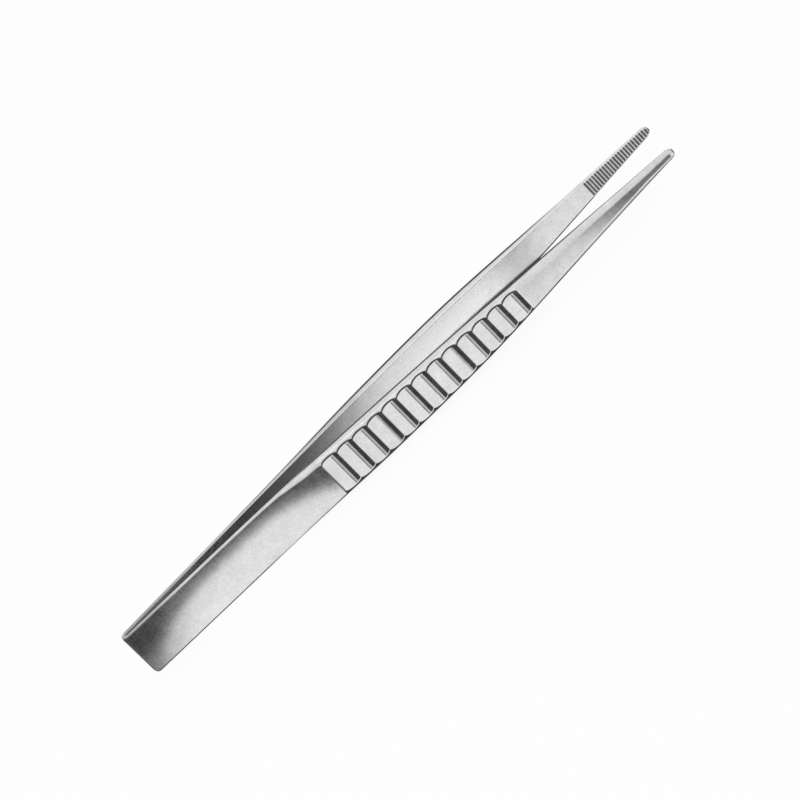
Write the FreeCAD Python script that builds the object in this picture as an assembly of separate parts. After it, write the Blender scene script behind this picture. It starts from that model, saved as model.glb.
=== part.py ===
import FreeCAD, Part
import math
import os

# Thumb forceps: one strip of stainless steel, forged thicker along the grip, folded back on itself at the
# butt and sprung open. X runs along the length to the tips, the legs open along Y, and the strip's width
# stands along Z. The forceps lie on their lower edges. All sizes are in millimetres, and a station is a
# distance from the butt end.

# Overall
length = 145.0
slot_width = 0.62  # gap left between the legs at the fold
splay_angle = 2.3  # degrees that each leg leans out from the middle plane

# Width of the strip, seen on its face
butt_width = 10.9
grip_width = 9.3
neck_width = 7.4
tip_width = 2.1
parallel_end = 22.0  # station where the parallel sides end
grip_middle = 78.0  # station where grip_width is measured
neck_station = 100.0  # station where neck_width is measured, and the straight taper starts
grip_side_slope = 0.028  # how fast each side closes in at grip_middle
butt_lower_corner = 0.6
butt_upper_corner = 0.3
tip_nose = 1.8  # length of the rounded end of a tip, seen on its face
tip_roll = 0.6  # radius of the roll from a tip's outer face into its end
roll_bite = 0.01  # how far above the outer face that roll's circle starts, so that it cuts cleanly

# Thickness of a leg at the middle of its face
spring_thickness = 0.98
shaft_thickness = 2.6
grip_thickness = 2.88
nose_thickness = 1.5
tip_thickness = 1.05
spring_end = 32.0
shaft_station = 66.0
grip_peak = 90.0
nose_station = 126.0
shaft_slope = 0.018
nose_slope = 0.028

# Bow of a leg: how far its inner face stands out from a straight line
bow_start = 50.0
bow_peak = 88.0
bow_height = 0.25
bow_at_tip = -0.2
bow_tip_slope = 0.01

# Shoulders: the outer face is flat in the middle and rounds down to each edge
spring_shoulder_width = 0.5
spring_shoulder_drop = 0.15
shoulder_width = 1.3
shoulder_drop = 0.5
tip_shoulder_drop = 0.35
shoulder_station = 56.0  # from here on the shoulders have their full size
shoulder_tip_start = 108.0  # from here on they get lower
shoulder_share = 0.86  # most of the half width that a shoulder may take

# Fluted grip
flute_count = 13
flute_pitch = 3.965
flute_start = 52.25
flute_depth = 0.28
flute_inset = 0.08  # how far the ridges lie under the outer face
first_flute_depth = 0.12  # the first flutes are shallower
first_flute_inset = 0.01
deepening_start = 60.0  # from here on the flutes get deeper
deepening_run = 16.0  # length over which they reach their full depth

# Serrated jaws
serration_count = 24
serration_pitch = 0.70
serration_depth = 0.22
serration_mouth = 0.44
serration_start = 128.35  # station of the first groove

# Sections that the legs are lofted through lie about this far apart
section_spacing = 8.0
tool_margin = 1.0  # how far a cutting tool stands out of the steel

fold_reach = slot_width / 2 + spring_thickness  # from the butt end to the axis of the fold
splay = math.radians(splay_angle)


def blend(knots, station):
    """Smooth curve through (station, value, slope) knots, level before the first, straight after the last."""
    first, last = knots[0], knots[-1]
    if station <= first[0]:
        return first[1]
    if station >= last[0]:
        return last[1] + last[2] * (station - last[0])
    for (x0, v0, m0), (x1, v1, m1) in zip(knots, knots[1:]):
        if station <= x1:
            run = x1 - x0
            t = (station - x0) / run
            rise = (3 - 2 * t) * t * t
            return v0 + (v1 - v0) * rise + run * t * (1 - t) * (m0 * (1 - t) - m1 * t)


def half_width(station):
    taper = (tip_width - neck_width) / 2 / (length - neck_station)
    return blend(
        [
            (parallel_end, butt_width / 2, 0),
            (grip_middle, grip_width / 2, -grip_side_slope),
            (neck_station, neck_width / 2, taper),
        ],
        station,
    )


def thickness(station):
    return blend(
        [
            (spring_end, spring_thickness, 0),
            (shaft_station, shaft_thickness, shaft_slope),
            (grip_peak, grip_thickness, 0),
            (nose_station, nose_thickness, -nose_slope),
            (length, tip_thickness, 0),
        ],
        station,
    )


def inner_face(station):
    """Distance of the inner face from the line through the fold's axis along the leg."""
    knots = [(bow_start, 0, 0), (bow_peak, bow_height, 0), (length, bow_at_tip, -bow_tip_slope)]
    return slot_width / 2 + blend(knots, station)


def outer_face(station):
    return inner_face(station) + thickness(station)


def shoulder(station):
    """Width and drop of the rounded shoulders beside the flat of the outer face."""
    full = (shoulder_station, shoulder_width, 0)
    width = blend([(spring_end, spring_shoulder_width, 0), full], station)
    drop = blend(
        [
            (spring_end, spring_shoulder_drop, 0),
            (shoulder_station, shoulder_drop, 0),
            (shoulder_tip_start, shoulder_drop, 0),
            (length, tip_shoulder_drop, 0),
        ],
        station,
    )
    return min(width, shoulder_share * half_width(station)), drop


def section(station):
    """Outline of a leg cut across at a station: flat inside, flat with rounded shoulders outside."""
    along = station - fold_reach
    side = half_width(station)
    inner = inner_face(station)
    outer = outer_face(station)
    width, drop = shoulder(station)
    radius = (width**2 + drop**2) / (2 * drop)
    half_turn = math.asin(width / radius) / 2
    flat = side - width
    mid_z = flat + radius * math.sin(half_turn)
    mid_y = outer - radius * (1 - math.cos(half_turn))

    def point(y, z):
        return FreeCAD.Vector(along, y, z)

    return Part.Wire(
        [
            Part.makeLine(point(inner, -side), point(inner, side)),
            Part.makeLine(point(inner, side), point(outer - drop, side)),
            Part.Arc(point(outer - drop, side), point(mid_y, mid_z), point(outer, flat)).toShape(),
            Part.makeLine(point(outer, flat), point(outer, -flat)),
            Part.Arc(point(outer, -flat), point(mid_y, -mid_z), point(outer - drop, -side)).toShape(),
            Part.makeLine(point(outer - drop, -side), point(inner, -side)),
        ]
    )


def upright_prism(wire):
    """Stands an outline drawn in the middle plane up and down past both edges of the strip."""
    reach = butt_width / 2 + tool_margin
    wire.translate(FreeCAD.Vector(0, 0, -reach))
    return Part.Face(wire).extrude(FreeCAD.Vector(0, 0, 2 * reach))


def deepened(first, full, station):
    """A size of the flutes that grows along the row from its first value to its full one."""
    return blend([(deepening_start, first, 0), (deepening_start + deepening_run, full, 0)], station)


def flute_ridge(station):
    """Point of the ridge at a station, a little under the outer face."""
    inset = deepened(first_flute_inset, flute_inset, station)
    return FreeCAD.Vector(station - fold_reach, outer_face(station) - inset, 0)


def flute_row():
    """Cutter for the grip: concave flutes side by side, with a sharp ridge between each two."""
    stations = [flute_start + flute_pitch * i for i in range(flute_count + 1)]
    ridges = [flute_ridge(s) for s in stations]
    edges = []
    for station, start, end in zip(stations, ridges, ridges[1:]):
        chord = (end - start).normalize()
        inward = FreeCAD.Vector(chord.y, -chord.x, 0)
        depth = deepened(first_flute_depth, flute_depth, station + flute_pitch / 2)
        edges.append(Part.Arc(start, (start + end) / 2 + inward * depth, end).toShape())
    outside = max(ridge.y for ridge in ridges) + tool_margin
    corners = [
        ridges[-1],
        FreeCAD.Vector(ridges[-1].x, outside, 0),
        FreeCAD.Vector(ridges[0].x, outside, 0),
        ridges[0],
    ]
    edges += [Part.makeLine(a, b) for a, b in zip(corners, corners[1:])]
    return upright_prism(Part.Wire(edges))


def serrations(offset):
    """Cutters for the jaw: straight grooves of V section across the inner face."""
    cutters = []
    widen = (serration_depth + tool_margin) / serration_depth
    half_mouth = serration_mouth / 2 * widen
    for i in range(serration_count):
        station = serration_start + offset + serration_pitch * i
        along = station - fold_reach
        face = inner_face(station)
        root = FreeCAD.Vector(along, face + serration_depth, 0)
        left = FreeCAD.Vector(along - half_mouth, face - tool_margin, 0)
        right = FreeCAD.Vector(along + half_mouth, face - tool_margin, 0)
        cutters.append(upright_prism(Part.makePolygon([root, left, right, root])))
    return Part.makeCompound(cutters)


def tip_end():
    """Distance of a leg's end along its line, so that the tip's inner corner reaches the full length."""
    return (length - fold_reach + inner_face(length) * math.sin(splay)) / math.cos(splay)


def tip_rounding():
    """Cutter that rounds the end of a leg, seen on its face, to half an ellipse as wide as the tip."""
    end = tip_end()
    start = end - tip_nose
    side = half_width(start + fold_reach)
    centre = FreeCAD.Vector(start, 0, 0)
    above = FreeCAD.Vector(start, 0, side)
    below = FreeCAD.Vector(start, 0, -side)
    ellipse = Part.Ellipse(FreeCAD.Vector(end, 0, 0), above, centre)
    nose = Part.ArcOfEllipse(ellipse, -math.pi / 2, math.pi / 2).toShape()
    far = end + tool_margin
    high = side + tool_margin
    corners = [
        above,
        FreeCAD.Vector(start, 0, high),
        FreeCAD.Vector(far, 0, high),
        FreeCAD.Vector(far, 0, -high),
        FreeCAD.Vector(start, 0, -high),
        below,
    ]
    outline = Part.Wire([nose] + [Part.makeLine(a, b) for a, b in zip(corners, corners[1:])])
    depth = outer_face(grip_peak) + tool_margin
    return Part.Face(outline).extrude(FreeCAD.Vector(0, depth, 0))


def tip_rolling():
    """Cutter that rolls the outer face of a leg round into its end."""
    end = tip_end()
    start = end - tip_roll
    level = outer_face(start + fold_reach) + roll_bite
    diagonal = tip_roll * math.sqrt(0.5)
    top = FreeCAD.Vector(start, level, 0)
    middle = FreeCAD.Vector(start + diagonal, level - tip_roll + diagonal, 0)
    foot = FreeCAD.Vector(end, level - tip_roll, 0)
    corners = [
        foot,
        FreeCAD.Vector(end + tool_margin, foot.y, 0),
        FreeCAD.Vector(end + tool_margin, level + tool_margin, 0),
        FreeCAD.Vector(start, level + tool_margin, 0),
        top,
    ]
    edges = [Part.Arc(top, middle, foot).toShape()]
    edges += [Part.makeLine(a, b) for a, b in zip(corners, corners[1:])]
    return upright_prism(Part.Wire(edges))


def leg_blank():
    """A leg as forged, before its grip and jaw are cut: a plain strip that runs into a lofted shaft."""
    strip = Part.Face(section(fold_reach)).extrude(FreeCAD.Vector(parallel_end - fold_reach, 0, 0))
    last = length + tool_margin
    count = math.ceil((last - parallel_end) / section_spacing)
    stations = [parallel_end + (last - parallel_end) * i / count for i in range(count + 1)]
    shaft = Part.makeLoft([section(s) for s in stations], True, False)
    return strip.fuse(shaft)


def leg(serration_offset):
    blank = leg_blank()
    return blank.cut([tip_rounding(), tip_rolling(), flute_row(), serrations(serration_offset)])


def fold():
    """The bend at the butt that joins the two legs."""
    turn = 180 - 2 * splay_angle
    bend = Part.Face(section(fold_reach)).revolve(FreeCAD.Vector(0, 0, 0), FreeCAD.Vector(0, 0, 1), turn)
    bend.rotate(FreeCAD.Vector(0, 0, 0), FreeCAD.Vector(0, 0, 1), splay_angle)
    return bend


def butt_corner(radius, up):
    """Cutter that rounds one corner of the butt, seen on the strip's face."""
    end = -fold_reach
    edge = up * butt_width / 2
    depth = fold_reach + tool_margin
    block = Part.makeBox(radius + tool_margin, 2 * depth, radius + tool_margin)
    foot = edge - radius if up > 0 else edge - tool_margin
    block.translate(FreeCAD.Vector(end - tool_margin, -depth, foot))
    centre = FreeCAD.Vector(end + radius, -depth, edge - up * radius)
    return block.cut(Part.makeCylinder(radius, 2 * depth, centre, FreeCAD.Vector(0, 1, 0)))


def forceps():
    far_leg = leg(0)
    near_leg = leg(serration_pitch / 2)
    far_leg.rotate(FreeCAD.Vector(0, 0, 0), FreeCAD.Vector(0, 0, 1), splay_angle)
    near_leg.rotate(FreeCAD.Vector(0, 0, 0), FreeCAD.Vector(0, 0, 1), splay_angle)
    near_leg = near_leg.mirror(FreeCAD.Vector(0, 0, 0), FreeCAD.Vector(0, 1, 0))
    body = fold().fuse([far_leg, near_leg]).removeSplitter()
    body = body.cut([butt_corner(butt_lower_corner, -1), butt_corner(butt_upper_corner, 1)])
    body.translate(FreeCAD.Vector(fold_reach - length / 2, 0, butt_width / 2))
    return body


os.makedirs("parts", exist_ok=True)
model = forceps()
model.exportStep("parts/forceps.step")
print("solids", len(model.Solids), "valid", model.isValid(), "volume mm3", round(model.Volume, 1))
print("box", model.BoundBox)
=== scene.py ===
import math

import bmesh
import bpy
import numpy as np
from mathutils import Matrix, Vector


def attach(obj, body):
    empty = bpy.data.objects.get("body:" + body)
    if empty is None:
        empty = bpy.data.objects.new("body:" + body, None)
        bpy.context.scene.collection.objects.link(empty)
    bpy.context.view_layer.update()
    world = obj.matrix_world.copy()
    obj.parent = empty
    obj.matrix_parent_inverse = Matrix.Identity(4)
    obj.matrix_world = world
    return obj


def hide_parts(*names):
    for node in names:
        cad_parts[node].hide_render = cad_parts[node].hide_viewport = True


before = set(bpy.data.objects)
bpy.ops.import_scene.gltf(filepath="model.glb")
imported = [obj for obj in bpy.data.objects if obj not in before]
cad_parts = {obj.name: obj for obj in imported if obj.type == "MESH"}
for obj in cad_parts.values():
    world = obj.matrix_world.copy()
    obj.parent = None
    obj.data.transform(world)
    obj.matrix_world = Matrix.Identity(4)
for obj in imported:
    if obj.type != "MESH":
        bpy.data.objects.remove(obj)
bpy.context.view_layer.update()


# Forceps: the spring strip with its two legs, in stainless steel. It is forged thicker along the grip,
# ground to a taper and folded at the butt. Its flutes and jaw grooves are milled, and it is polished
# satin, with every edge softened a little. Sizes are in millimetres.
length = 145.0
slot_width = 0.62
splay = math.radians(2.3)

butt_width = 10.9
grip_width = 9.3
neck_width = 7.4
tip_width = 2.1
parallel_end = 22.0
grip_middle = 78.0
neck_station = 100.0
grip_side_slope = 0.028
butt_lower_corner = 0.6
butt_upper_corner = 0.3
tip_nose = 1.8
tip_roll = 0.6
roll_bite = 0.01

spring_thickness = 0.98
shaft_thickness = 2.6
grip_thickness = 2.88
nose_thickness = 1.5
tip_thickness = 1.05
spring_end = 32.0
shaft_station = 66.0
grip_peak = 90.0
nose_station = 126.0
shaft_slope = 0.018
nose_slope = 0.028
fold_reach = slot_width / 2 + spring_thickness

bow_start = 50.0
bow_peak = 88.0
bow_height = 0.25
bow_at_tip = -0.2
bow_tip_slope = 0.01

spring_shoulder_width = 0.5
spring_shoulder_drop = 0.15
shoulder_width = 1.3
shoulder_drop = 0.5
tip_shoulder_drop = 0.35
shoulder_station = 56.0
shoulder_tip_start = 108.0
shoulder_share = 0.86
edge_radius = 0.12

flute_count = 13
flute_pitch = 3.965
flute_start = 52.25
flute_end = flute_start + flute_count * flute_pitch
flute_depth = 0.28
flute_inset = 0.08
first_flute_depth = 0.12
first_flute_inset = 0.01
deepening_start = 60.0
deepening_run = 16.0

groove_count = 24
groove_pitch = 0.70
groove_depth = 0.22
groove_mouth = 0.44
groove_start = 128.35

METRES = 0.001


def blend(knots, s):
    """Cubic through (station, value, slope) knots, level before the first and straight after the last.
    Between two knots it is the value at each end joined by 3t^2 - 2t^3, plus a term that gives each end
    its slope."""
    x, v, m = np.array(knots, float).T
    i = np.clip(np.searchsorted(x, s) - 1, 0, len(x) - 2)
    run = x[i + 1] - x[i]
    t = np.clip((s - x[i]) / run, 0, 1)
    curve = v[i] + (v[i + 1] - v[i]) * (3 - 2 * t) * t * t
    return curve + run * t * (1 - t) * (m[i] * (1 - t) - m[i + 1] * t) + m[-1] * np.maximum(s - x[-1], 0)


def ease(value, start, end):
    """0 before start, 1 after end, and 3t^2 - 2t^3 of the share of the way between them."""
    t = np.clip((value - start) / (end - start), 0, 1)
    return (3 - 2 * t) * t * t


def hump(value, middle, half):
    """1 at the middle, falling off as a bell curve that is 0.37 at half either side."""
    return np.exp(-(((value - middle) / half) ** 2))


def half_width(s):
    """Half the strip's width: parallel at the butt, a long curve past the grip, then straight to the
    tip."""
    taper = (tip_width - neck_width) / 2 / (length - neck_station)
    return blend(
        [
            (parallel_end, butt_width / 2, 0),
            (grip_middle, grip_width / 2, -grip_side_slope),
            (neck_station, neck_width / 2, taper),
        ],
        s,
    )


def inner_level(s):
    """Distance of the inner face from the line along the leg: straight, with a shallow bow over the
    grip."""
    knots = [(bow_start, 0, 0), (bow_peak, bow_height, 0), (length, bow_at_tip, -bow_tip_slope)]
    return slot_width / 2 + blend(knots, s)


def outer_level(s):
    """The inner level plus the steel's thickness: thin at the spring, thickest at the grip, thin at the
    tip."""
    knots = [
        (spring_end, spring_thickness, 0),
        (shaft_station, shaft_thickness, shaft_slope),
        (grip_peak, grip_thickness, 0),
        (nose_station, nose_thickness, -nose_slope),
        (length, tip_thickness, 0),
    ]
    return inner_level(s) + blend(knots, s)


def shoulder_size(s):
    """Width and drop of the rounded shoulders: small on the spring, full along the grip, lower at the
    tip."""
    start, full = (spring_end, spring_shoulder_width, 0), (shoulder_station, shoulder_width, 0)
    width = np.minimum(blend([start, full], s), shoulder_share * half_width(s))
    drop = blend(
        [
            (spring_end, spring_shoulder_drop, 0),
            (shoulder_station, shoulder_drop, 0),
            (shoulder_tip_start, shoulder_drop, 0),
            (length, tip_shoulder_drop, 0),
        ],
        s,
    )
    return width, drop


def groove_root(s, offset):
    """Station of the root of the jaw groove nearest to each station."""
    number = np.clip(np.round((s - groove_start - offset) / groove_pitch), 0, groove_count - 1)
    return groove_start + offset + groove_pitch * number


def groove_level(s, offset):
    """The inner level with the jaw's V grooves: each flank rises straight from the face to the groove's
    root."""
    root = groove_root(s, offset)
    flank = inner_level(root) + groove_depth * (1 - np.abs(s - root) / (groove_mouth / 2))
    return np.maximum(inner_level(s), flank)


def deepened(first, full, s):
    """A size of the flutes that grows along the row, as a cubic from its first value to its full
    one."""
    return blend([(deepening_start, first, 0), (deepening_start + deepening_run, full, 0)], s)


def flute_drop(s):
    """How deep the milled flutes lie under the outer face: a circle through two ridges, hollow by the
    depth."""
    number = np.clip(np.floor((s - flute_start) / flute_pitch), 0, flute_count - 1)
    left = flute_start + flute_pitch * number
    right = left + flute_pitch
    left_ridge = outer_level(left) - deepened(first_flute_inset, flute_inset, left)
    right_ridge = outer_level(right) - deepened(first_flute_inset, flute_inset, right)
    depth = deepened(first_flute_depth, flute_depth, (left + right) / 2)
    rise = right_ridge - left_ridge
    chord = np.hypot(flute_pitch, rise)
    radius = (chord**2 / 4 + depth**2) / (2 * depth)
    centre_x = (left + right) / 2 - (rise / chord) * (radius - depth)
    centre_y = (left_ridge + right_ridge) / 2 + (flute_pitch / chord) * (radius - depth)
    hollow = centre_y - np.sqrt(np.maximum(radius**2 - (s - centre_x) ** 2, 0))
    return outer_level(s) - hollow


def tip_end():
    """Station of a leg's very end, placed so that the tip's inner corner reaches the full length."""
    tip_inner = inner_level(length) * math.sin(splay)
    return (length - fold_reach + tip_inner) / math.cos(splay) + fold_reach


def tip_limit(s):
    """Half height left by the round of the tip: half an ellipse, as wide as the tip where it starts."""
    start = tip_end() - tip_nose
    ahead = np.clip((s - start) / tip_nose, 0, 1)
    return np.where(ahead > 0, half_width(start) * np.sqrt(1 - ahead**2), half_width(s))


def tip_rolled(s):
    """Outer level at the tip's end, where a quarter circle rolls the outer face down into the end."""
    start = tip_end() - tip_roll
    past = np.clip(s - start, 0, tip_roll)
    roll = outer_level(start) + roll_bite - tip_roll + np.sqrt(tip_roll**2 - past**2)
    return np.where(past > 0, np.minimum(outer_level(s), roll), outer_level(s))


# Rows of points: how far apart they lie on the plain lengths, the shares of a flute's pitch that get one,
# with those where its painted fine lines of shade start and end, and the least distance that two rows may
# keep. The rows before the flutes and before the tip's end hold the painted lines of shade that lie there.
spring_spacing = 0.85
neck_spacing = 0.95
plain_margin = 0.6
flute_rows = [0, 0.03, *np.arange(0.1, 0.56, 0.1)]
flute_line_rows = [0.57, 0.605, 0.63, 0.66, 0.685, 0.705, 0.735, 0.745, 0.755, 0.785]
flank_rows = [0.86, 0.92, 0.97]
before_flutes = [0.42, 0.34, 0.0]
after_flutes = [0.0, 0.15]
neck_margin = 0.9
groove_rows = np.array([-1, -0.5, 0, 0.5, 1])
nose_rows = 18
nose_line_rows = np.array([1.15, 1.0, 0.34, 0.26])
fold_rows = 34
step_gap = 1e-4
least_gap = 5e-5


def leg_stations(offset):
    """Stations down one leg, close together where the form turns fast: flutes, jaw grooves and the
    tip's round. Each end of the flute row has two rows of points at the same station, one on each side
    of its step."""
    end = tip_end()
    spring = np.arange(fold_reach, flute_start - plain_margin, spring_spacing)
    share = np.array(flute_rows + flute_line_rows + flank_rows)
    flutes = (flute_start + flute_pitch * (np.arange(flute_count)[:, None] + share)).ravel()
    first_step = [flute_start - ahead for ahead in before_flutes]
    last_step = [flute_end - step_gap] + [flute_end + past for past in after_flutes]
    neck = np.arange(flute_end + neck_margin, groove_start + offset - plain_margin, neck_spacing)
    roots = groove_start + offset + groove_pitch * np.arange(groove_count)
    grooves = (roots[:, None] + groove_mouth / 2 * groove_rows).ravel()
    lands = np.append(roots + groove_pitch / 2, roots[0] - groove_pitch / 2)
    turn = np.radians(np.linspace(0, 90, nose_rows))
    nose = end - tip_nose * (1 - np.sin(turn))
    grip = [flutes + step_gap, first_step, last_step]
    rows = np.sort(np.concatenate([spring, *grip, neck, grooves, lands, nose, end - nose_line_rows]))
    return rows[(rows <= end) & (np.diff(rows, prepend=-1) > least_gap)]


# The parts of one half outline, in the order of its columns, from the middle of the inner face to the
# middle of the outer face. The short ones beside an edge hold the thin dark line of painted shade along
# it.
face_columns = 11
rim_columns = 5
edge_columns = 4
flat_columns = 8
lip_columns = np.array([0.1, 0.2, 0.3, 0.4, 0.5, 0.62])
HALF_PARTS = ["face"] * (face_columns + 1) + ["face_line"] + ["rim"] * rim_columns
HALF_PARTS += ["wall_in", "wall", "wall", "wall_out"] + ["edge"] * edge_columns
HALF_PARTS += ["foot"] + ["shoulder"] * 5 + ["flat"] * (len(lip_columns) + flat_columns)
PARTS = np.array(HALF_PARTS + HALF_PARTS[-2:0:-1])
UPPER = np.arange(len(PARTS)) < len(HALF_PARTS)

# The widths of those painted lines of shade, as distances from the edge, each with the most that it may
# take of
# the part it lies on: on the inner face, on the side beside the inner and the outer edge, and on the
# shoulder.
face_line_widths, face_line_shares = np.array([0.38, 0.22]), [0.09, 0.05]
slit_line_width, slit_line_growth, slit_line_fade = 0.45, 0.22, 0.16
back_line_width, back_line_end = 0.56, 0.74
line_share, fade_share = 0.3, 0.42
foot_width, foot_share = 0.45, 0.35
crest_width, crest_share = 0.28, 0.55
cut_width, cut_share = 0.12, 0.25


def leg_section(s, offset):
    """Half outlines of the leg across stations s, as out (distance from the leg's line) and up
    (height), one row each. They run from the middle of the inner face round the rounded edge and up the
    side, over the shoulder's arc, and end at the middle of the outer face. A flute cuts the arc off
    level, so its end is where the arc meets that level. The third result is each point's distance from
    that cut: below 0 on the flat, and the shoulder's whole arc past it."""
    s = s[:, None]
    side = np.maximum(tip_limit(s), 1e-6)
    inner = groove_level(s, offset)
    outer = tip_rolled(s)
    width, drop = shoulder_size(s)
    round_off = (width**2 + drop**2) / (2 * drop)
    edge = np.minimum(edge_radius, side)
    flat = np.minimum(half_width(s) - width, side - edge)
    sunk = np.where((s > flute_start) & (s < flute_end), flute_drop(s), 0)
    reach = side - edge - flat
    edge_out = outer - round_off + np.sqrt((round_off - edge) ** 2 - reach**2)
    touch = np.arcsin(np.clip(reach / (round_off - edge), 0, 1))
    cut = np.minimum(np.arccos(1 - sunk / round_off), touch)

    # the inner face, and the rounded edge between it and the side
    quarter = np.radians(np.linspace(0, 90, rim_columns))
    face_line = 1 - np.minimum(face_line_widths / side, face_line_shares)
    face = np.concatenate([np.linspace(0, 0.9, face_columns) + 0 * s, face_line], 1)
    out = [inner + 0 * face, inner + edge * (1 - np.cos(quarter))]
    up = [(side - edge) * face, side - edge + edge * np.sin(quarter)]

    # the side, with the columns of the painted lines of shade beside its two edges
    wall = edge_out - inner - edge
    slit_line = slit_line_width + slit_line_growth * ease(s, 96, 106) * (1 - ease(s, 113, 122))
    past_slit = np.minimum(slit_line + slit_line_fade, fade_share * wall)
    slit_line = np.minimum(slit_line, line_share * wall)
    past_back = np.minimum(back_line_end, fade_share * wall)
    back_line = np.minimum(back_line_width, line_share * wall)
    columns = [slit_line, past_slit, wall - past_back, wall - back_line]
    out += [inner + edge + np.concatenate(columns, 1)]
    up += [side + np.zeros((1, len(columns)))]

    # the rounded edge and the arc of the shoulder
    turn = np.pi / 2 + (touch - np.pi / 2) * np.linspace(0, 1, edge_columns)
    out += [edge_out + edge * np.cos(turn)]
    up += [side - edge + edge * np.sin(turn)]
    run = np.maximum(round_off * (touch - cut), 1e-9)
    foot = 1 - np.minimum(foot_width, foot_share * run) / run
    crest = np.minimum(crest_width, crest_share * run) / run
    near_cut = np.minimum(cut_width, cut_share * run) / run
    between = [crest + (foot - crest) * 2 / 3, crest + (foot - crest) / 3]
    share = np.concatenate([foot, *between, crest, near_cut, 0 * cut], 1)
    arc = cut + (touch - cut) * share
    out += [outer - round_off + round_off * np.cos(arc)]
    up += [flat + round_off * np.sin(arc)]

    # the flat, or the flute's bottom, close together beside its end and then even to the middle
    level = outer - sunk
    rim = flat + round_off * np.sin(cut)
    lip = lip_columns * np.minimum(1, rim)
    middle = (rim - lip[:, -1:]) * np.linspace(1 - 1 / flat_columns, 0, flat_columns)
    across = np.concatenate([rim - lip, middle], 1)
    out += [level + 0 * across]
    up += [across]
    from_cut = np.concatenate([np.repeat(run, HALF_PARTS.index("foot"), 1), run * share, across - rim], 1)
    return np.concatenate(out, 1), np.concatenate(up, 1), from_cut


def strip_surface():
    """The whole strip as a grid: rows run from the far tip round the fold to the near tip, and columns
    round the steel. Returns the points, each row's station and leg (1 far, 0 the fold, -1 near), and
    the distances from the cut."""
    far_s, near_s = leg_stations(0.0), leg_stations(groove_pitch / 2)
    far = leg_section(far_s, 0.0)
    near = leg_section(near_s, groove_pitch / 2)
    turns = np.linspace(splay, math.pi - splay, fold_rows)[1:-1]
    bend_s = np.full(len(turns), fold_reach)
    bend = leg_section(bend_s, 0.0)
    s = np.concatenate([far_s[::-1], bend_s, near_s])
    out, up, from_cut = (np.concatenate([a[::-1], b, c]) for a, b, c in zip(far, bend, near))
    turn = np.concatenate([np.full(len(far_s), splay), turns, np.full(len(near_s), math.pi - splay)])
    leg = np.concatenate([np.ones(len(far_s)), np.zeros(len(turns)), -np.ones(len(near_s))])
    out = np.concatenate([out, out[:, -2:0:-1]], 1)
    up = np.concatenate([up, -up[:, -2:0:-1]], 1)
    from_cut = np.concatenate([from_cut, from_cut[:, -2:0:-1]], 1)
    along = (s - fold_reach)[:, None]
    x = along * math.cos(splay) - out * np.sin(turn)[:, None]
    y = leg[:, None] * along * math.sin(splay) + out * np.cos(turn)[:, None]
    for radius, high in ((butt_upper_corner, 1), (butt_lower_corner, -1)):
        past = np.clip(radius - (x + fold_reach), 0, radius)
        limit = butt_width / 2 - radius + np.sqrt(radius**2 - past**2)
        up = np.where(np.sign(up) == high, up * limit / (butt_width / 2), up)
    x = x + fold_reach - length / 2
    return np.stack([x, y, up + butt_width / 2], -1) * METRES, s, leg, from_cut


points, station, leg_of_row, from_cut = strip_surface()

# Greys as the eye sees them, 0 to 255: painted light and shade. They are the light, reflections and shade
# that the polished steel shows under this studio's light, painted into its colour. The five lightest greys
# are painted light and highlights. The darker ones are painted shade on edges, flanks, grooves, hollows
# and the tip. In the formulas below, x and s are places along the strip in millimetres from the butt, so
# ease(x, 40, 50) grows from
# 0 to 1 between 40 and 50 mm, and the number before it is how many greys that adds or takes.
BRIGHT = 247.0
LIGHT = 224.0
TOP = 209.0
FAR_RIM_HIGHLIGHT = 222.0
LIP_HIGHLIGHT = 236.0
RIDGE_SHADE = 150.0
GROOVE_SHADE = 146.0
NOSE_SHADE = 100.0
TIP_END_SHADE = 80.0
BUTT_EDGE_SHADE = 70.0
SPRING_SHADE = 66.0
ROW_STEP_SHADE = 62.0
FLANK_SHADE = 58.0
SHADE_BETWEEN_LEGS = 55.0
BACK_SHADE_LINE = 50.0
LOWER_SIDE_SHADE = 50.0
EDGE_SHADE_LINE = 45.0
UNDER_SHADE_LINE = 40.0
OUTLINE_SHADE = 20.0
# How far the eye's line sinks from the near leg's upper edge to the far leg, for each millimetre
# between them; it places the painted shade between the legs
look_down = 0.6085
# Where the painted lines of shade across the outer face start and end: before the first flute, and before
# the tip's end
step_line = (0.41, 0.35)
nose_line = (1.15, 1.0)
nose_round = (0.34, 0.26)
tip_face = 0.3
# Where the painted fine lines of shade on a flute start and end, as shares of its pitch, the greys that
# they take, and the two flutes of each row that have a soft painted shade in their place
first_line_start, first_line_end = (0.60, 0.63), (0.66, 0.685)
second_line_start, second_line_end = (0.685, 0.705), (0.735, 0.745)
flank_start = (0.755, 0.785)
soft_start = (0.58, 0.78)
first_line_grey, second_line_grey, past_lines_grey, soft_grey = 85, 30, 25, 90
flutes_without_lines = (3, 8)


def shade(tone, grey, amount):
    """The tone moved towards a grey by an amount from 0 to 1."""
    return tone + (grey - tone) * amount


def top_tone(x):
    """The near leg's upper side, painted a little darker where the spring is thin: painted shade."""
    return TOP - 8 * (1 - ease(x, 40, 50)) - 24 * (1 - ease(x, 1, 16))


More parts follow.
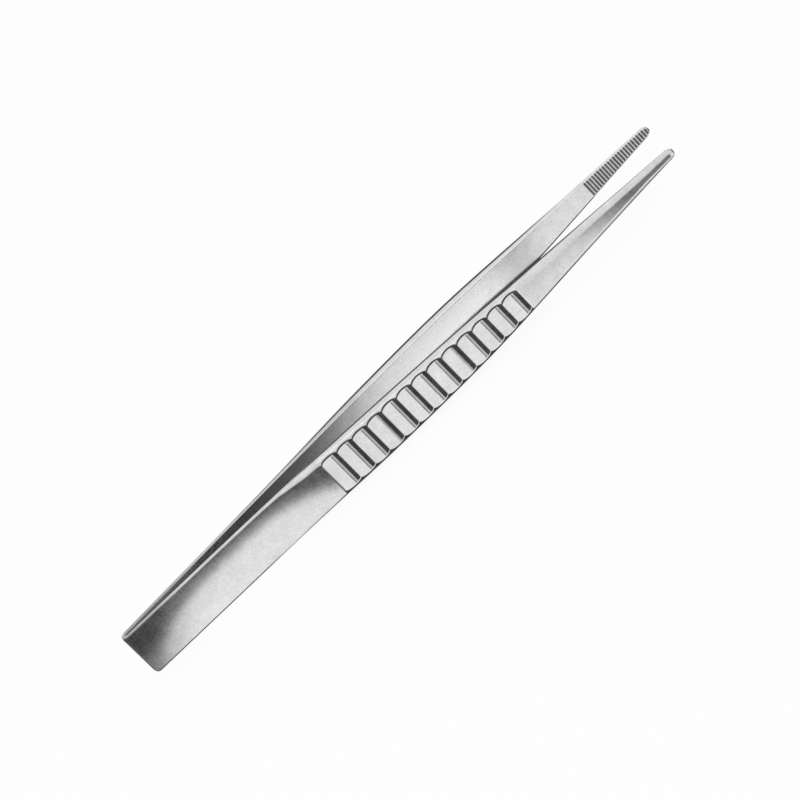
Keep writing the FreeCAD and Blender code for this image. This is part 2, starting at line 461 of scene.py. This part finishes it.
def spring_tone(x, t):
    """The outer face from the butt to the grip, with t from 0 at its upper edge to 1 at its lower one.
    It is painted dark above a line that falls away from the butt's lower corner, runs along under the
    upper
    edge, and drops again towards the grip: painted shade and reflection."""
    climb = np.clip((x - 33) / 18.5, 0, 1)
    line = 0.205 + 0.9 * np.exp(-x / 6) + 0.4 * climb**2.2
    softness = 0.11 + 0.20 * np.exp(-x / 7) + 0.10 * climb**2
    light = LIGHT - 95 * np.exp(-x / 4.8) + 9 * ease(t, 0.5, 0.9) * hump(x, 16, 8)
    light = light - 12 * hump(x, 8, 3.5) * (1 - ease(t, 0.75, 0.95))
    dark = SPRING_SHADE + 52 * ease(x, 3, 20) - 36 * ease(x, 31, 53)
    dark = dark + 60 * ease(t, 0.3, 0.9) * np.exp(-x / 8)
    dark = dark - 22 * (1 - ease(t, 0.02, 0.14)) * ease(x, 12, 20)
    tone = dark + (light - dark) * (1 + np.tanh((t - line) / softness)) / 2
    # a painted dark line of shade along the butt's end
    return shade(tone, BUTT_EDGE_SHADE, 1 - ease(x, 0.15, 0.5))


def flute_tone(s, drawn):
    """Across the flutes: painted reflections and shade. Each is light from its ridge to past the middle,
    then has a fine double line of painted shade on most of them, and a painted dark band of shade on the
    flank that rises to the next ridge. drawn, 0 to 1, is how much of the double line shows. The second
    result is 1 at each ridge and 0 in the middle of each flute."""
    share = (s - flute_start) / flute_pitch
    number = np.clip(np.floor(share + 1e-6), 0, flute_count - 1)
    share = share - number
    tone = shade(RIDGE_SHADE, LIGHT, ease(share, -0.02, 0.03))
    first_line = ease(share, *first_line_start) - ease(share, *first_line_end)
    second_line = ease(share, *second_line_start) - ease(share, *second_line_end)
    fine = first_line_grey * first_line + second_line_grey * second_line
    fine = fine + past_lines_grey * ease(share, *first_line_start)
    soft = soft_grey * ease(share, *soft_start)
    tone = tone - np.where(np.isin(number, flutes_without_lines), soft, fine * drawn)
    return shade(tone, FLANK_SHADE, ease(share, *flank_start)), (2 * share - 1) ** 2


def grip_tone(s, part, upper):
    """The fluted grip: a painted dark arc of shade round each flute's upper end, and a painted highlight
    on the lip over a painted dark line at its lower end, with the lower side painted dark."""
    run = np.maximum(from_cut[:, :1], 1e-6)
    drawn = np.where(upper, ease(-from_cut, 0.38, 0.52), 1)
    fluted, ridge = flute_tone(s, drawn)
    on_arc = 1 - ease(np.abs(from_cut + 0.08), 0.14, 0.25)
    arcs = shade(np.where(part == "flat", fluted, TOP), FLANK_SHADE, on_arc)
    dark_end = np.clip(0.27 - 0.45 * run, 0, 0.27) + 0.32 * ridge * ease(s, 58, 68)
    lip = shade(fluted, LIP_HIGHLIGHT, 1 - ease(-from_cut, dark_end + 0.2, dark_end + 0.3))
    lip = shade(lip, EDGE_SHADE_LINE, 1 - ease(-from_cut, dark_end, dark_end + 0.1))
    lower = np.where(part == "flat", lip, LOWER_SIDE_SHADE)
    return np.where(upper, arcs, lower)


def neck_tone(x, z, nose, part, upper):
    """From the grip to the tip: painted light, with a painted dark streak of reflection down the middle
    that deepens towards the tip, and painted shade round the tip's nose."""
    deep = 22 * ease(x, 103, 105) + 90 * ease(x, 115, 133)
    down = np.clip(0.5 - z / 2.4, 0, 1)
    streak = LIGHT - deep * (1 - 0.6 * down * (1 - ease(x, 122, 134)))
    base = np.where(upper, TOP, LIGHT)
    neck = np.where(part == "flat", streak, shade(streak, base, ease(from_cut, 0.2, 0.36)))
    neck = shade(neck, base, ease(-nose, -nose_line[0], -nose_line[1]))
    return shade(neck, NOSE_SHADE, ease(-nose, -nose_round[0], -nose_round[1]))


def outer_tone(x, z, s, nose, part, upper):
    """The outer face with its shoulders and edges: the spring's painted shade, the painted light and shade
    of the flutes, and the painted streak on the neck."""
    before = s < flute_start - 1e-6
    past = s >= flute_end - least_gap
    t = (1 - z / half_width(x)) / 2
    spring = spring_tone(x, t)
    run = np.maximum(from_cut[:, :1], 1e-6)
    # the upper shoulder painted lighter where it turns up to the top: painted light
    border = 1 - 0.1 * ease(x, 8, 20) - 0.66 * ease(x, 38, 48.5)
    lit = upper * ease(from_cut / run, border - 0.15, border + 0.15)
    tone = np.where(part == "flat", spring, shade(spring, top_tone(x), lit))
    # a painted line of shade across the face before the first flute
    step = ease(s, flute_start - step_line[0], flute_start - step_line[1])
    tone = shade(tone, ROW_STEP_SHADE, step * ((part == "flat") | ~upper))
    tone = np.where(~before & ~past, grip_tone(s, part, upper), tone)
    return np.where(past, neck_tone(x, z, nose, part, upper), tone)


def inner_tone(x, z, s, leg):
    """The inner face: painted dark by the fold, lighter along the grip, and greyer again towards the tips,
    painted shade of the hollow between the legs. On the far leg a painted dark wedge of shade lies where
    it sinks behind the near one. The jaw's grooves are painted grey round their roots, painted shade in
    the grooves."""
    hollow = 165 + 21 * ease(x, 14, 20) + 12 * (1 - ease(x, 2, 8)) + 14 * hump(x, 26, 4)
    hollow = hollow + 60 * ease(x, 47, 76) + 4 * ease(x, 76, 86)
    hollow = hollow - 14 * ease(x, 90, 102) - 14 * ease(x, 100, 112) - 24 * hump(x, 108, 4.5)
    hollow = hollow + 8 * z / half_width(s) * ease(x, 78, 88) * (1 - ease(x, 104, 112)) * (leg > 0)
    between = 2 * (inner_level(s) + (s - fold_reach) * math.sin(splay))
    sunk_line = half_width(s) - look_down * between
    grow = 0.3 * ease(x, 88, 108)
    below_line = 1 - ease(z, sunk_line - 0.05 + grow / 2, sunk_line + 0.3 + grow)
    hollow = shade(hollow, SHADE_BETWEEN_LEGS, ease(x, 80, 102) * below_line * (leg > 0))
    from_root = np.abs(s - groove_root(s, np.where(leg < 0, groove_pitch / 2, 0.0)))
    return shade(hollow, GROOVE_SHADE, 1 - ease(from_root, 0.17, 0.37))


def with_painted_edge_shade(tone, x, s, leg, part, upper):
    """The tone with thin dark lines of painted shade along the edges. Each is on one edge, and fades in
    and out along it."""
    back = np.isin(part, ("wall_out", "edge")) & (leg > 0) & upper
    line = 0.35 * (1 - ease(x, 2, 26)) + 0.6 * ease(x, 26, 36)
    line = line + 0.2 * ease(x, 44, 52) + 0.2 * ease(x, 60, 72)
    tone = np.where(back, shade(tone, BACK_SHADE_LINE, line * (1 - ease(x, 108, 124))), tone)

    slit = np.isin(part, ("rim", "wall_in")) & (leg < 0) & upper
    thin = 0.85 + 0.15 * ease(x, 84, 100) - 0.55 * ease(x, 114, 130) - 0.2 * ease(x, 138, 143)
    tone = np.where(slit, shade(tone, EDGE_SHADE_LINE, ease(x, 44, 52) * thin), tone)

    under = np.isin(part, ("rim", "face_line")) & (leg > 0) & ~upper & (s < groove_start - 0.3)
    tone = np.where(under, shade(tone, UNDER_SHADE_LINE, ease(x, 96, 104)), tone)

    below = np.isin(part, ("foot", "edge")) & ~upper
    faint = 1 - 0.4 * ease(x, 30, 38) + 0.3 * ease(x, 48, 52) - 0.3 * ease(x, 112, 124)
    tone = np.where(below, shade(tone, OUTLINE_SHADE + 30 * ease(x, 28, 38), faint), tone)
    beside = (part == "shoulder") & ~upper & (from_cut > 0.2)
    return np.where(beside, shade(tone, OUTLINE_SHADE, 1 - ease(x, 28, 38)), tone)


def painted_shade_and_polish():
    """The polished steel's painted grey at every point, its painted light and shade, as a share of the
    brightest,
    and its polish from 0 to 1: the wheel doesn't reach far into the fold, so the steel is dull there."""
    x = (points[..., 0] / METRES) + length / 2
    z = points[..., 2] / METRES - butt_width / 2
    s = station[:, None] + 0 * x
    leg = leg_of_row[:, None] + 0 * x
    part = np.broadcast_to(PARTS, x.shape)
    upper = np.broadcast_to(UPPER, x.shape)
    nose = tip_end() - s

    outer = np.isin(part, ("flat", "shoulder", "foot", "edge"))
    # the far leg's upper side painted darker towards the butt: painted shade
    far_top = 172 + 18 * ease(x, 5, 40) + 19 * ease(x, 60, 76)
    walls = np.where(upper, np.where(leg > 0, far_top, top_tone(x)), TOP)
    tone = np.where(outer, outer_tone(x, z, s, nose, part, upper), walls)
    # the far leg's upper rim painted lighter along the grip: a painted highlight
    tone = np.where((part == "rim") & upper & (leg > 0), shade(walls, FAR_RIM_HIGHLIGHT, ease(x, 60, 76)), tone)
    inside = np.isin(part, ("face", "face_line")) | ((part == "rim") & ~upper)
    tone = np.where(inside, inner_tone(x, z, s, leg), tone)
    tone = with_painted_edge_shade(tone, x, s, leg, part, upper)
    # the tip's end painted dark: painted shade
    end = np.isin(part, ("face", "face_line", "rim", "wall_in", "wall", "wall_out"))
    tone = np.where(end & (nose < tip_face), TIP_END_SHADE, tone)
    polish = np.where(np.isin(part, ("face", "face_line", "rim")), ease(x, 8, 26), 1)
    return tone / BRIGHT, polish


sharp_from = math.radians(14)


def grid_mesh(name, grid, tone, polish):
    """A mesh closed round its columns, with each end row folded shut, and the painted light and shade
    (tone) and polish on its points. Edges that turn by more than sharp_from stay sharp."""
    rows, around = grid.shape[:2]
    i, j = np.meshgrid(np.arange(rows - 1), np.arange(around), indexing="ij")
    after = (j + 1) % around
    corners = [i * around + j, i * around + after, (i + 1) * around + after, (i + 1) * around + j]
    mesh = bpy.data.meshes.new(name)
    mesh.from_pydata(grid.reshape(-1, 3), [], np.stack(corners, -1).reshape(-1, 4))
    for kind, values in (("tone", tone), ("polish", polish)):
        attribute = mesh.attributes.new(kind, "FLOAT", "POINT")
        attribute.data.foreach_set("value", values.astype(np.float32).ravel())
    shell = bmesh.new()
    shell.from_mesh(mesh)
    shell.verts.ensure_lookup_table()
    ends = list(shell.verts[:around]) + list(shell.verts[-around:])
    bmesh.ops.remove_doubles(shell, verts=ends, dist=1e-7)
    bmesh.ops.dissolve_degenerate(shell, edges=shell.edges, dist=1e-8)
    shell.to_mesh(mesh)
    shell.free()
    mesh.shade_smooth()
    mesh.set_sharp_from_angle(angle=sharp_from)
    return mesh


def maths(tree, operation, *values, clamp=False):
    """A maths node in a node tree, and its output. Each value is a number or the output that feeds
    it."""
    node = tree.nodes.new("ShaderNodeMath")
    node.operation = operation
    node.use_clamp = clamp
    for socket, value in zip(node.inputs, values):
        if isinstance(value, (int, float)):
            socket.default_value = value
        else:
            tree.links.new(value, socket)
    return node.outputs[0]


def attribute_value(tree, name):
    """Output of a node that reads one of the mesh's own attributes."""
    node = tree.nodes.new("ShaderNodeAttribute")
    node.attribute_name = name
    return node.outputs["Fac"]


def noise(tree, place, scale, detail, roughness):
    """Output of a noise at the given places: about 1 / scale metres from one speck to the next."""
    node = tree.nodes.new("ShaderNodeTexNoise")
    node.inputs["Scale"].default_value = scale
    node.inputs["Detail"].default_value = detail
    node.inputs["Roughness"].default_value = roughness
    tree.links.new(place, node.inputs["Vector"])
    return node.outputs["Fac"]


steel_mesh = grid_mesh("forceps_steel", points, *painted_shade_and_polish())
forceps_steel = bpy.data.objects.new("forceps_steel", steel_mesh)
bpy.context.scene.collection.objects.link(forceps_steel)

steel = bpy.data.materials.new("satin_steel")
steel.use_nodes = True
tree = steel.node_tree
bsdf = tree.nodes["Principled BSDF"]
bsdf.inputs["Metallic"].default_value = 1

# the painted light and shade, and the polish, read from the mesh
tone = attribute_value(tree, "tone")
polish = attribute_value(tree, "polish")
place = tree.nodes.new("ShaderNodeTexCoord").outputs["Object"]
grain = noise(tree, place, scale=2100, detail=3, roughness=0.6)
cloud = noise(tree, place, scale=420, detail=2, roughness=0.5)
mottle = tree.nodes.new("ShaderNodeMix")
mottle.data_type = "FLOAT"
mottle.inputs["Factor"].default_value = 0.35
tree.links.new(grain, mottle.inputs["A"])
tree.links.new(cloud, mottle.inputs["B"])

# the grain shows most where the steel is painted dark, and not at all where it is dull
strength = tree.nodes.new("ShaderNodeMapRange")
strength.inputs["From Min"].default_value = 0.25
strength.inputs["From Max"].default_value = 1.0
strength.inputs["To Min"].default_value = 0.42
strength.inputs["To Max"].default_value = 0.28
tree.links.new(tone, strength.inputs["Value"])
centred = maths(tree, "SUBTRACT", mottle.outputs["Result"], 0.5)
amount = maths(tree, "MULTIPLY", strength.outputs["Result"], polish)
grained = maths(tree, "MULTIPLY_ADD", centred, amount, tone)

# from the painted grey as the eye sees it to the share of light sent back: the painted light and shade
# become the steel's base colour
eye_power = 2.2
sent_back = maths(tree, "POWER", grained, eye_power, clamp=True)
colour = tree.nodes.new("ShaderNodeMix")
colour.data_type = "RGBA"
colour.inputs["A"].default_value = (0.012, 0.012, 0.013, 1)
colour.inputs["B"].default_value = (0.97, 0.97, 0.97, 1)
tree.links.new(sent_back, colour.inputs["Factor"])
tree.links.new(colour.outputs["Result"], bsdf.inputs["Base Color"])

satin = tree.nodes.new("ShaderNodeMapRange")
satin.inputs["To Min"].default_value = 0.27
satin.inputs["To Max"].default_value = 0.35
tree.links.new(grain, satin.inputs["Value"])
rough = tree.nodes.new("ShaderNodeMix")
rough.data_type = "FLOAT"
rough.inputs["A"].default_value = 0.85
tree.links.new(polish, rough.inputs["Factor"])
tree.links.new(satin.outputs["Result"], rough.inputs["B"])
tree.links.new(rough.outputs["Result"], bsdf.inputs["Roughness"])
bump = tree.nodes.new("ShaderNodeBump")
bump.inputs["Strength"].default_value = 0.25
bump.inputs["Distance"].default_value = 0.00002
tree.links.new(mottle.outputs["Result"], bump.inputs["Height"])
tree.links.new(bump.outputs["Normal"], bsdf.inputs["Normal"])
steel_mesh.materials.append(steel)

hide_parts("forceps")
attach(forceps_steel, "root")


# Floor: a plain sheet of white paper that the forceps lie on. Seen by the camera or in the steel it
# mostly glows white, so that its surface has no shading of its own but a faint shadow.
reach = 3.0
floor_corners = [(-reach, -reach, 0), (reach, -reach, 0), (reach, reach, 0), (-reach, reach, 0)]
floor_mesh = bpy.data.meshes.new("floor")
floor_mesh.from_pydata(floor_corners, [], [(0, 1, 2, 3)])
floor = bpy.data.objects.new("floor", floor_mesh)
bpy.context.scene.collection.objects.link(floor)


def seen_directly(tree):
    """1 for a ray from the camera, off the steel or through glass, and 0 for light on its way to a
    surface."""
    path = tree.nodes.new("ShaderNodeLightPath")
    camera_or_glossy = maths(tree, "MAXIMUM", path.outputs["Is Camera Ray"], path.outputs["Is Glossy Ray"])
    return maths(tree, "MAXIMUM", camera_or_glossy, path.outputs["Is Transmission Ray"])


paper = bpy.data.materials.new("white_paper")
paper.use_nodes = True
tree = paper.node_tree
paper_bsdf = tree.nodes["Principled BSDF"]
paper_bsdf.inputs["Base Color"].default_value = (0.97, 0.97, 0.97, 1)
paper_bsdf.inputs["Roughness"].default_value = 0.9
paper_bsdf.inputs["Specular IOR Level"].default_value = 0.0
white = tree.nodes.new("ShaderNodeEmission")
white.inputs["Color"].default_value = (1, 1, 1, 1)
white.inputs["Strength"].default_value = 1.0
glowing_share = 0.9
mixed = tree.nodes.new("ShaderNodeMixShader")
tree.links.new(maths(tree, "MULTIPLY", seen_directly(tree), glowing_share), mixed.inputs["Fac"])
tree.links.new(paper_bsdf.outputs["BSDF"], mixed.inputs[1])
tree.links.new(white.outputs["Emission"], mixed.inputs[2])
tree.links.new(mixed.outputs["Shader"], tree.nodes["Material Output"].inputs["Surface"])
floor_mesh.materials.append(paper)


# Studio: white all round, a little darker for the light that it throws than as it is seen, and one
# large round lamp above that gives the forceps their faint shadow.
world = bpy.data.worlds.new("studio")
bpy.context.scene.world = world
world.use_nodes = True
tree = world.node_tree
background = tree.nodes["Background"]
background.inputs["Color"].default_value = (1, 1, 1, 1)
level = tree.nodes.new("ShaderNodeMapRange")
level.inputs["To Min"].default_value = 0.8
level.inputs["To Max"].default_value = 1.0
tree.links.new(seen_directly(tree), level.inputs["Value"])
tree.links.new(level.outputs["Result"], background.inputs["Strength"])

lamp = bpy.data.lights.new("key", "AREA")
lamp.shape = "DISK"
lamp.size = 1.2
lamp.energy = 1.2
lamp_object = bpy.data.objects.new("key", lamp)
bpy.context.scene.collection.objects.link(lamp_object)
lamp_object.location = (-0.3, -0.2, 0.7)
lamp_object.rotation_mode = "QUATERNION"
lamp_object.rotation_quaternion = (Vector((0, 0, 0)) - lamp_object.location).to_track_quat("-Z", "Y")


# Camera: the photograph is taken from a little above and far away, with the forceps turned to lie
# across the picture. The target is the middle of the forceps, and lies at target_pixel, counted from
# the top left corner.
photo_pixels = 800
frame_width = 0.15806
camera_distance = 1.597
camera_elevation = math.radians(31.32)
camera_roll = math.radians(44.686)
target = Vector((0, 0, 0.00545))
target_pixel = (399.64, 397.30)
film_width = 36.0
back = Vector((0, -math.cos(camera_elevation), math.sin(camera_elevation)))
right = Vector((1, 0, 0))
upward = back.cross(right)
photo_up = right * math.sin(camera_roll) + upward * math.cos(camera_roll)
photo_right = right * math.cos(camera_roll) - upward * math.sin(camera_roll)
pixel = frame_width / photo_pixels
shift_right = photo_right * (photo_pixels / 2 - target_pixel[0]) * pixel
shift_up = photo_up * (target_pixel[1] - photo_pixels / 2) * pixel
centre = target + shift_right + shift_up

camera_data = bpy.data.cameras.new("camera")
camera_data.sensor_width = film_width
camera_data.lens = film_width * camera_distance / frame_width
camera_data.clip_start = 0.01
camera_data.clip_end = 100
camera = bpy.data.objects.new("camera", camera_data)
bpy.context.scene.collection.objects.link(camera)
axes = Matrix((photo_right, photo_up, back)).transposed().to_4x4()
camera.matrix_world = Matrix.Translation(centre + back * camera_distance) @ axes
bpy.context.scene.camera = camera
bpy.context.scene.view_settings.view_transform = "Standard"

bpy.context.view_layer.update()
